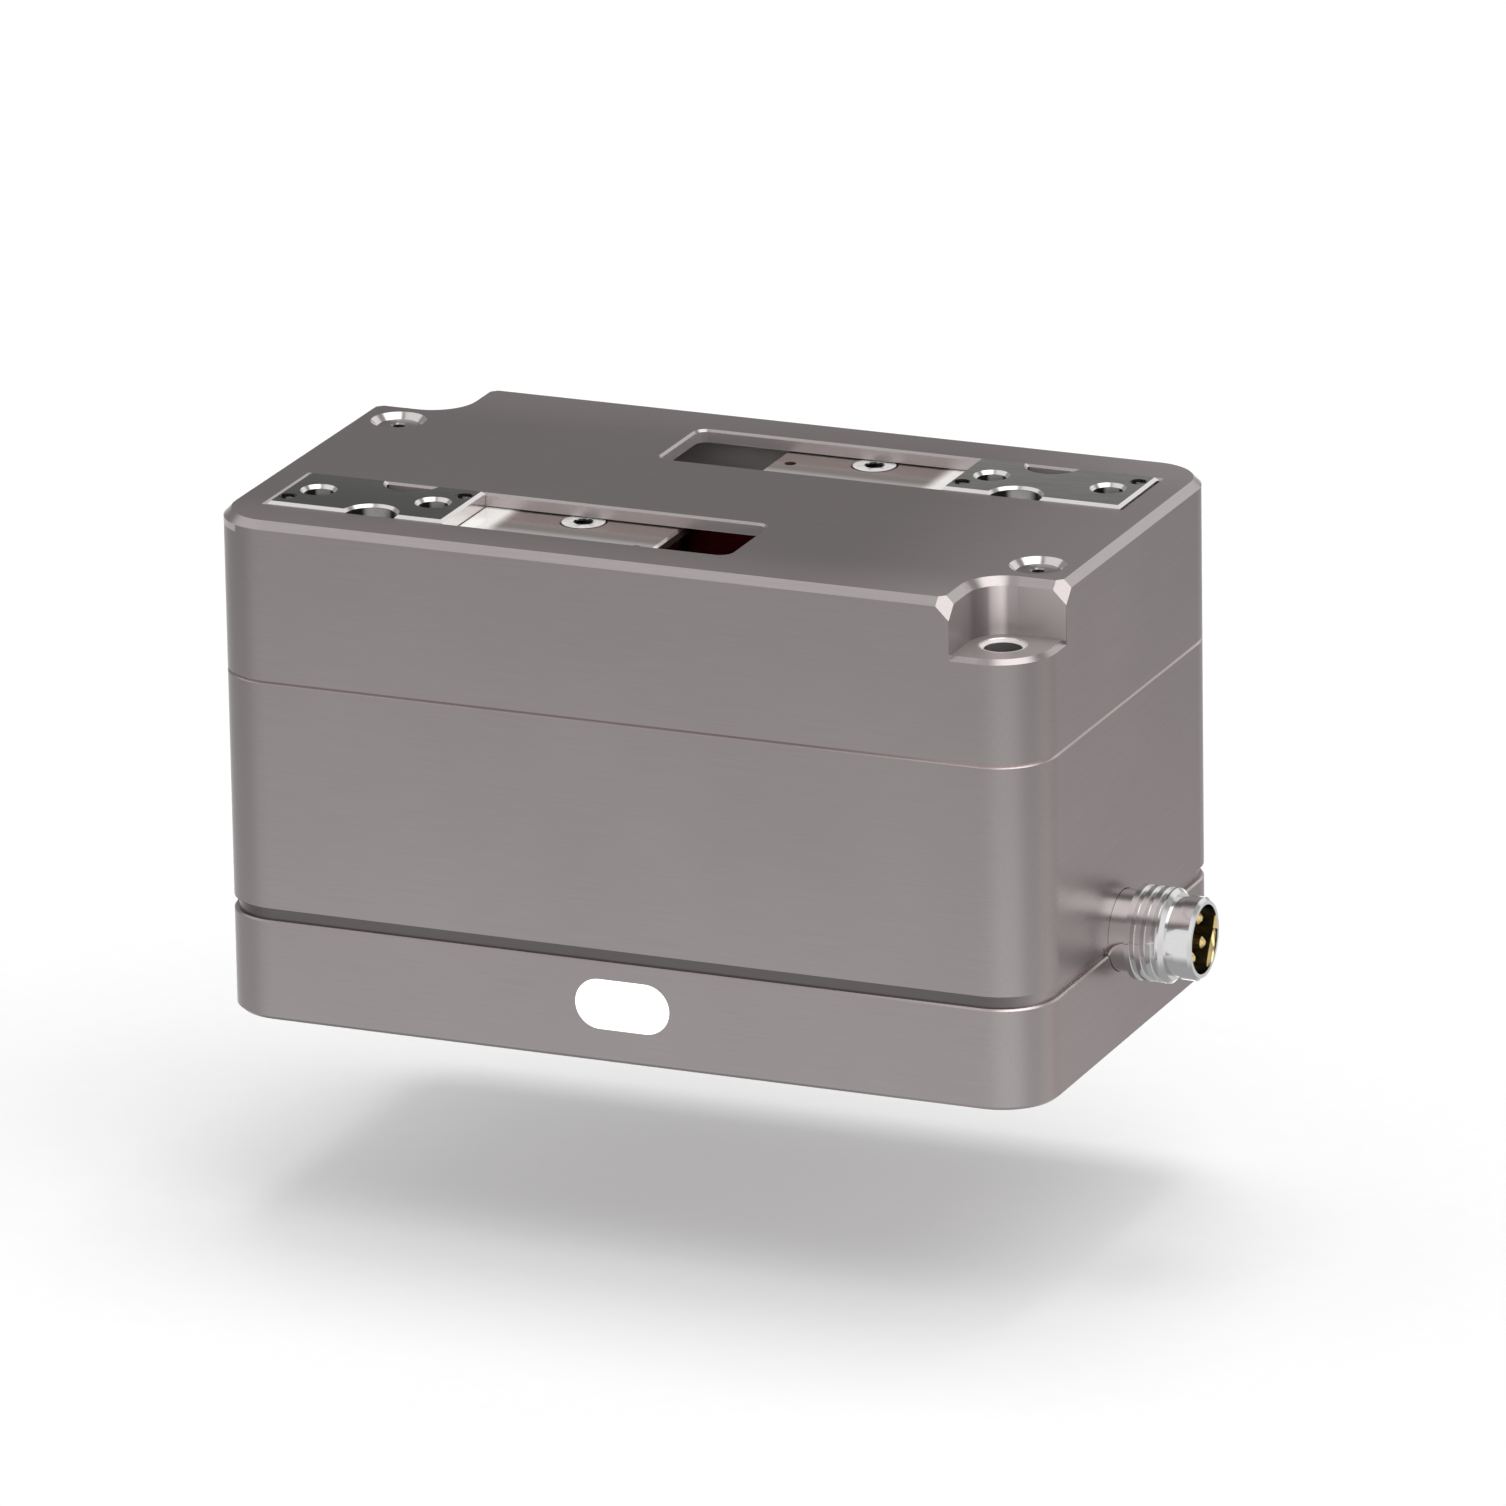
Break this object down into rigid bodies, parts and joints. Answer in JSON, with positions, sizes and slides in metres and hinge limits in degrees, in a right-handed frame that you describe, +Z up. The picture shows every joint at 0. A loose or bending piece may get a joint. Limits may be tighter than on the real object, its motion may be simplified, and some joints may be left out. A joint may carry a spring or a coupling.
{
  "type": "electric parallel gripper",
  "caption": "Compact electric gripper: box housing in three layers, finger plates that slide in opposite slots in the top, status window in front and a round threaded connector at the side.",
  "frame": {"origin": "middle of the housing's underside, which is the mounting face", "axes": "+X along the jaw travel towards the connector side, +Y towards the back, away from the status window, +Z up through the finger plates"},
  "size_m": [0.081, 0.0416, 0.0437],
  "materials": {
    "housing_metal": "satin anodised, fine horizontal grain",
    "window_plastic": "diffusing, lit from behind",
    "board_laminate": "solder mask over laminate",
    "component_plastic": "moulded packages",
    "screw_steel": "bright stainless",
    "rail_steel": "ground",
    "bridge_metal": "dark red anodised",
    "bearing_steel": "ground rings",
    "motor_metal": "turned can",
    "plate_metal": "machined",
    "connector_metal": "nickel plated",
    "insert_plastic": "moulded",
    "contact_gold": "gold plated",
    "gear_steel": "hobbed teeth",
    "gear_brass": "hobbed teeth",
    "jaw_steel": "polished, hardened",
    "strip_steel": "mirror polished"
  },
  "bodies": {
    "housing": {"upper_housing": "housing_metal", "middle_housing": "housing_metal", "base_housing": "housing_metal", "status_window": "window_plastic", "status_board": "board_laminate", "control_board": "board_laminate", "board_components": "component_plastic", "board_screws": "screw_steel", "front_guide_rail": "rail_steel", "rear_guide_rail": "rail_steel", "rail_screws": "screw_steel", "bearing_bridge": "bridge_metal", "bridge_screws": "screw_steel", "upper_bearing": "bearing_steel", "lower_bearing": "bearing_steel", "idler_pin": "rail_steel", "motor_body": "motor_metal", "motor_screws": "screw_steel", "encoder_board": "board_laminate", "gear_plate": "plate_metal", "gear_plate_screws": "screw_steel", "cover_screws": "screw_steel", "housing_screws": "screw_steel", "connector_shell": "connector_metal", "connector_insert": "insert_plastic", "connector_contacts": "contact_gold"},
    "front_jaw_unit": {"front_jaw": "jaw_steel", "front_rack": "rail_steel", "front_rack_screws": "screw_steel", "front_slide_cover": "strip_steel", "front_slide_cover_screws": "screw_steel"},
    "rear_jaw_unit": {"rear_jaw": "jaw_steel", "rear_rack": "rail_steel", "rear_rack_screws": "screw_steel", "rear_slide_cover": "strip_steel", "rear_slide_cover_screws": "screw_steel"},
    "pinion_unit": {"pinion_shaft": "rail_steel", "jaw_pinion": "gear_steel", "drive_gear": "gear_steel"},
    "idler_unit": {"idler_gear": "gear_steel"},
    "rotor_unit": {"motor_shaft": "rail_steel", "motor_pinion": "gear_brass"}
  },
  "joints": [
    {"name": "front_jaw_slide", "type": "slide", "parent": "housing", "child": "front_jaw_unit", "axis": [1, 0, 0], "range_m": [0, 0.025]},
    {"name": "rear_jaw_slide", "type": "slide", "parent": "housing", "child": "rear_jaw_unit", "axis": [-1, 0, 0], "range_m": [0, 0.025]},
    {"name": "pinion_spin", "type": "hinge", "parent": "housing", "child": "pinion_unit", "pos_m": [0, 0, 0.0339], "axis": [0, 0, 1], "range_deg": [0, 360]},
    {"name": "idler_spin", "type": "hinge", "parent": "housing", "child": "idler_unit", "pos_m": [-0.01229, 0.00425, 0.0209], "axis": [0, 0, 1], "range_deg": [-1200, 0]},
    {"name": "motor_spin", "type": "hinge", "parent": "housing", "child": "rotor_unit", "pos_m": [-0.021, -0.004, 0.018], "axis": [0, 0, 1], "range_deg": [0, 4780]}
  ],
  "couplings": [
    {"joint": "rear_jaw_slide", "follows": "front_jaw_slide", "ratio": 1},
    {"joint": "pinion_spin", "follows": "front_jaw_slide", "rad_per_m": 250},
    {"joint": "idler_spin", "follows": "front_jaw_slide", "rad_per_m": -833.33},
    {"joint": "motor_spin", "follows": "front_jaw_slide", "rad_per_m": 3333.3}
  ]
}
